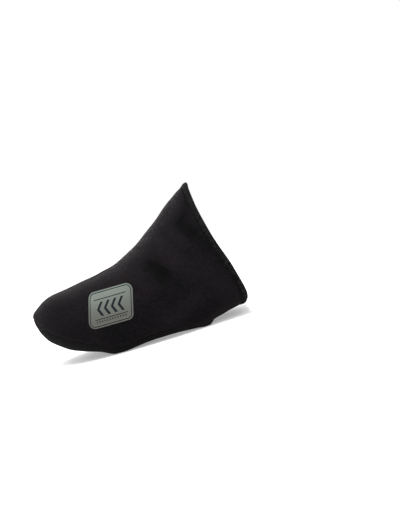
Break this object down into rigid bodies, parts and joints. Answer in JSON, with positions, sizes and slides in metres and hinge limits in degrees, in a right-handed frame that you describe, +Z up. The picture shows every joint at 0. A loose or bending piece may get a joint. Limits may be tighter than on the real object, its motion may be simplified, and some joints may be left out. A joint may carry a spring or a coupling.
{
  "type": "cycling toe cover",
  "caption": "Stretch toe cover for a cyclist's left shoe: a hollow sleeve with a bound slanted collar, a grip sole panel with a taped cleat opening and a reflective patch.",
  "frame": {"origin": "on the floor, under the middle of the bounding box", "axes": "+X from the toe to the collar, +Y to the inner side of the foot, +Z up; the cover stands on the two ends of its cleat opening"},
  "size_m": [0.1714, 0.101, 0.1113],
  "materials": {
    "neoprene": "foam with a fine black knit on both faces, soft sheen",
    "grip_fabric": "coarse grey-black woven aramid-like cloth, dull",
    "binding_tape": "folded knitted tape, dull",
    "reflective_film": "grey retroreflective film, satin"
  },
  "bodies": {
    "root": {"upper": "neoprene", "sole_panel": "grip_fabric", "cleat_opening_tape": "binding_tape", "collar_binding": "binding_tape", "reflective_patch": "reflective_film"}
  },
  "joints": []
}
